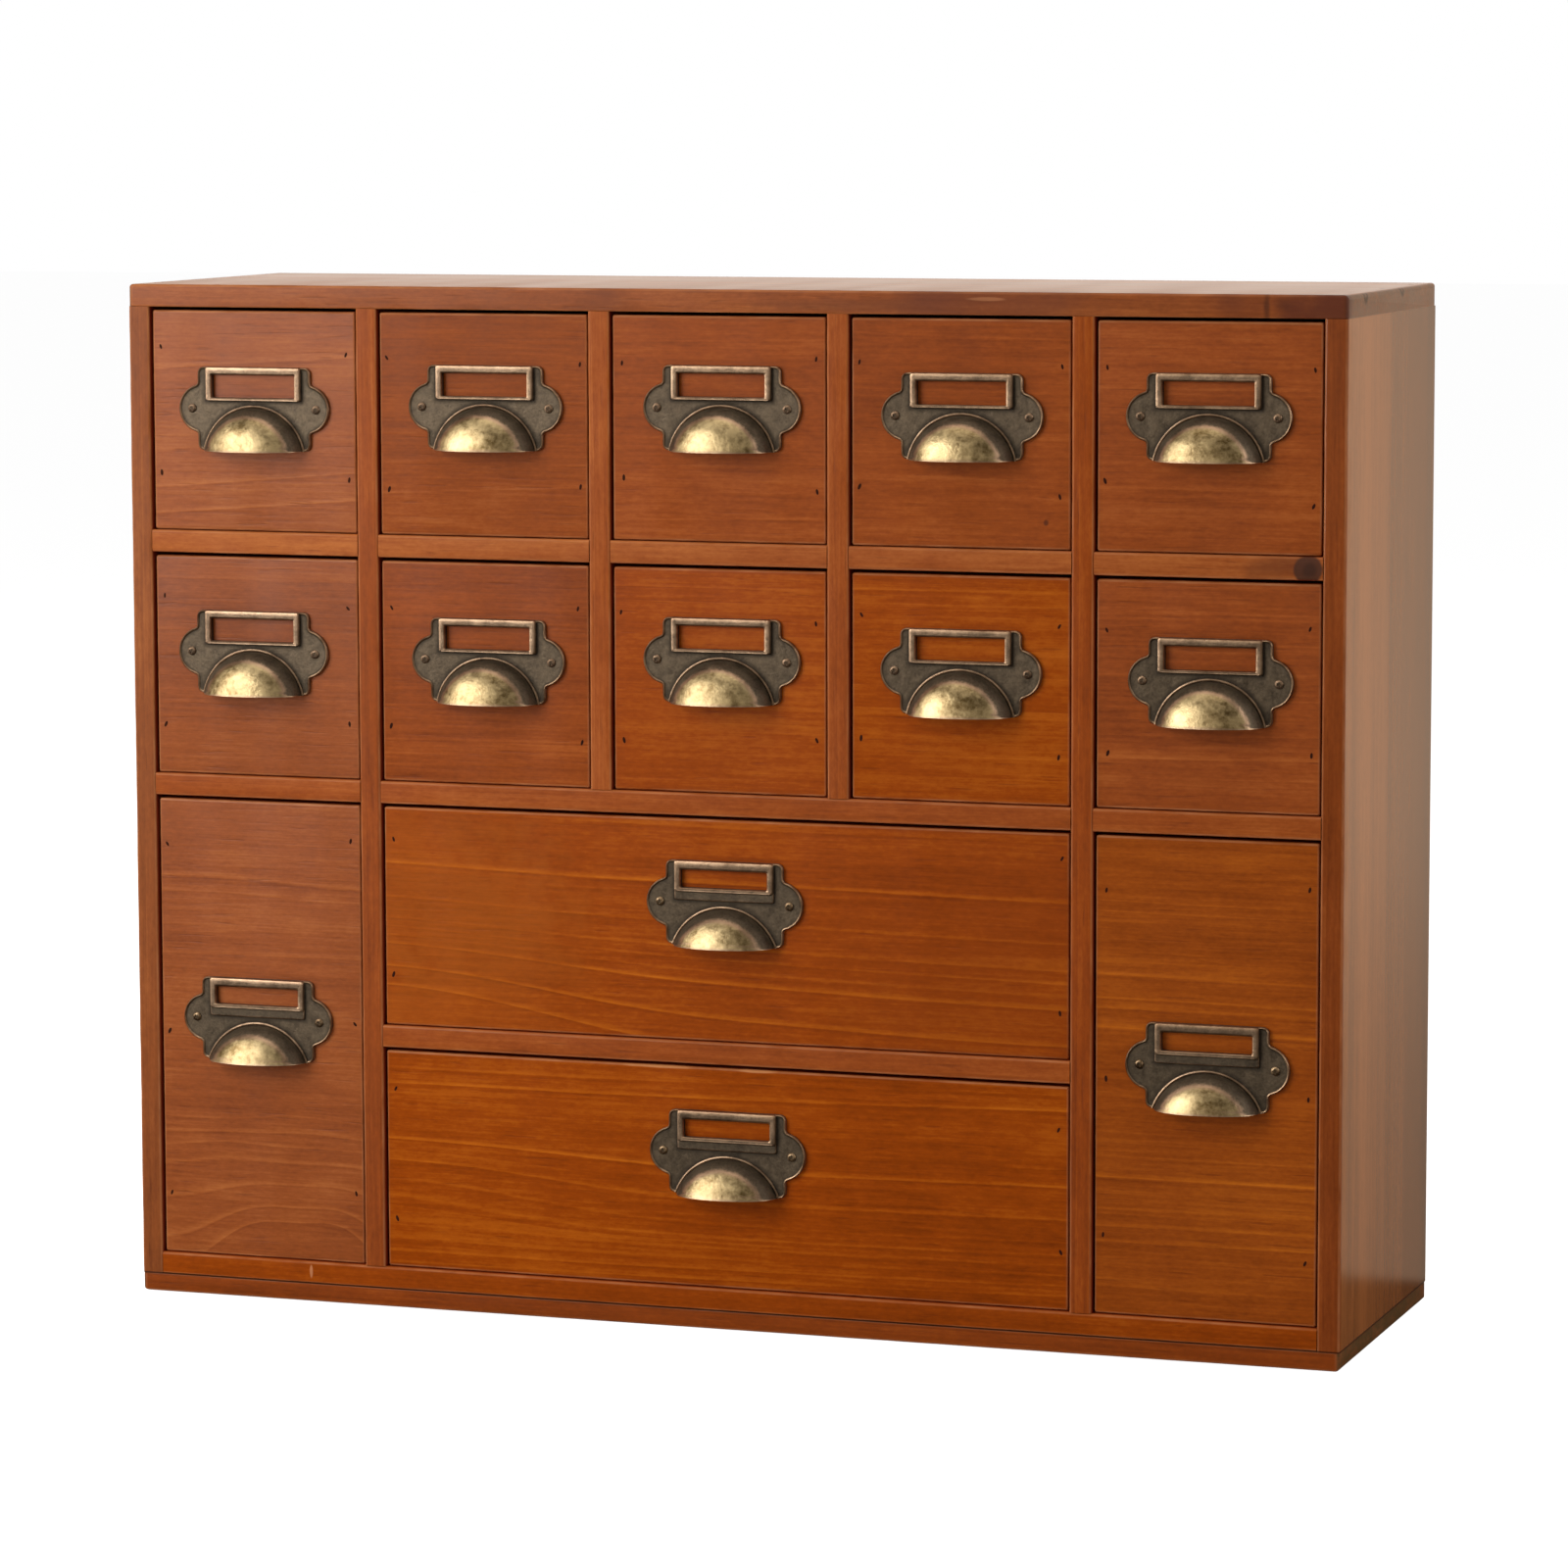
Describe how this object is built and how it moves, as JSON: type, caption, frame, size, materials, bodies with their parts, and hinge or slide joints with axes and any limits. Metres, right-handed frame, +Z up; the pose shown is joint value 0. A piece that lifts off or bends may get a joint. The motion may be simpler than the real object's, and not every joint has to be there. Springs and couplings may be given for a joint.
{
  "type": "mini chest of drawers",
  "caption": "Low wooden tabletop chest of small, tall and wide drawers, each with a brass cup pull under an open label frame.",
  "frame": {"origin": "centre of the base board's underside, the face that the chest stands on", "axes": "+Z up, +X to the right as seen from the front, +Y from the front to the back, so the drawers open towards -Y"},
  "size_m": [0.616, 0.1953, 0.504],
  "materials": {
    "stained_wood": "satin varnish",
    "plain_wood": "bare sanded",
    "plywood": "bare sanded",
    "antique_brass": "darkened, worn bright on the high places",
    "nail_steel": "dull"
  },
  "bodies": {
    "carcass": {"base_board": "stained_wood", "bottom_panel": "stained_wood", "left_side_panel": "stained_wood", "right_side_panel": "stained_wood", "left_divider": "stained_wood", "right_divider": "stained_wood", "left_short_divider": "stained_wood", "right_short_divider": "stained_wood", "upper_shelves": "stained_wood", "lower_shelf_left": "stained_wood", "lower_shelf_middle": "stained_wood", "lower_shelf_right": "stained_wood", "wide_drawer_shelf": "stained_wood", "top_panel": "stained_wood", "back_panel": "plywood", "carcass_nails": "nail_steel"},
    "upper_drawer_1": {"upper_drawer_1_front": "stained_wood", "upper_drawer_1_box": "plain_wood", "upper_drawer_1_pull": "antique_brass"},
    "upper_drawer_2": {"upper_drawer_2_front": "stained_wood", "upper_drawer_2_box": "plain_wood", "upper_drawer_2_pull": "antique_brass"},
    "upper_drawer_3": {"upper_drawer_3_front": "stained_wood", "upper_drawer_3_box": "plain_wood", "upper_drawer_3_pull": "antique_brass"},
    "upper_drawer_4": {"upper_drawer_4_front": "stained_wood", "upper_drawer_4_box": "plain_wood", "upper_drawer_4_pull": "antique_brass"},
    "upper_drawer_5": {"upper_drawer_5_front": "stained_wood", "upper_drawer_5_box": "plain_wood", "upper_drawer_5_pull": "antique_brass"},
    "middle_drawer_1": {"middle_drawer_1_front": "stained_wood", "middle_drawer_1_box": "plain_wood", "middle_drawer_1_pull": "antique_brass"},
    "middle_drawer_2": {"middle_drawer_2_front": "stained_wood", "middle_drawer_2_box": "plain_wood", "middle_drawer_2_pull": "antique_brass"},
    "middle_drawer_3": {"middle_drawer_3_front": "stained_wood", "middle_drawer_3_box": "plain_wood", "middle_drawer_3_pull": "antique_brass"},
    "middle_drawer_4": {"middle_drawer_4_front": "stained_wood", "middle_drawer_4_box": "plain_wood", "middle_drawer_4_pull": "antique_brass"},
    "middle_drawer_5": {"middle_drawer_5_front": "stained_wood", "middle_drawer_5_box": "plain_wood", "middle_drawer_5_pull": "antique_brass"},
    "tall_drawer_left": {"tall_drawer_left_front": "stained_wood", "tall_drawer_left_box": "plain_wood", "tall_drawer_left_pull": "antique_brass"},
    "tall_drawer_right": {"tall_drawer_right_front": "stained_wood", "tall_drawer_right_box": "plain_wood", "tall_drawer_right_pull": "antique_brass"},
    "wide_drawer_upper": {"wide_drawer_upper_front": "stained_wood", "wide_drawer_upper_box": "plain_wood", "wide_drawer_upper_pull": "antique_brass"},
    "wide_drawer_lower": {"wide_drawer_lower_front": "stained_wood", "wide_drawer_lower_box": "plain_wood", "wide_drawer_lower_pull": "antique_brass"}
  },
  "joints": [
    {"name": "upper_drawer_1_slide", "type": "slide", "parent": "carcass", "child": "upper_drawer_1", "axis": [0, -1, 0], "range_m": [0, 0.13]},
    {"name": "upper_drawer_2_slide", "type": "slide", "parent": "carcass", "child": "upper_drawer_2", "axis": [0, -1, 0], "range_m": [0, 0.13]},
    {"name": "upper_drawer_3_slide", "type": "slide", "parent": "carcass", "child": "upper_drawer_3", "axis": [0, -1, 0], "range_m": [0, 0.13]},
    {"name": "upper_drawer_4_slide", "type": "slide", "parent": "carcass", "child": "upper_drawer_4", "axis": [0, -1, 0], "range_m": [0, 0.13]},
    {"name": "upper_drawer_5_slide", "type": "slide", "parent": "carcass", "child": "upper_drawer_5", "axis": [0, -1, 0], "range_m": [0, 0.13]},
    {"name": "middle_drawer_1_slide", "type": "slide", "parent": "carcass", "child": "middle_drawer_1", "axis": [0, -1, 0], "range_m": [0, 0.13]},
    {"name": "middle_drawer_2_slide", "type": "slide", "parent": "carcass", "child": "middle_drawer_2", "axis": [0, -1, 0], "range_m": [0, 0.13]},
    {"name": "middle_drawer_3_slide", "type": "slide", "parent": "carcass", "child": "middle_drawer_3", "axis": [0, -1, 0], "range_m": [0, 0.13]},
    {"name": "middle_drawer_4_slide", "type": "slide", "parent": "carcass", "child": "middle_drawer_4", "axis": [0, -1, 0], "range_m": [0, 0.13]},
    {"name": "middle_drawer_5_slide", "type": "slide", "parent": "carcass", "child": "middle_drawer_5", "axis": [0, -1, 0], "range_m": [0, 0.13]},
    {"name": "tall_drawer_left_slide", "type": "slide", "parent": "carcass", "child": "tall_drawer_left", "axis": [0, -1, 0], "range_m": [0, 0.13]},
    {"name": "tall_drawer_right_slide", "type": "slide", "parent": "carcass", "child": "tall_drawer_right", "axis": [0, -1, 0], "range_m": [0, 0.13]},
    {"name": "wide_drawer_upper_slide", "type": "slide", "parent": "carcass", "child": "wide_drawer_upper", "axis": [0, -1, 0], "range_m": [0, 0.13]},
    {"name": "wide_drawer_lower_slide", "type": "slide", "parent": "carcass", "child": "wide_drawer_lower", "axis": [0, -1, 0], "range_m": [0, 0.13]}
  ]
}
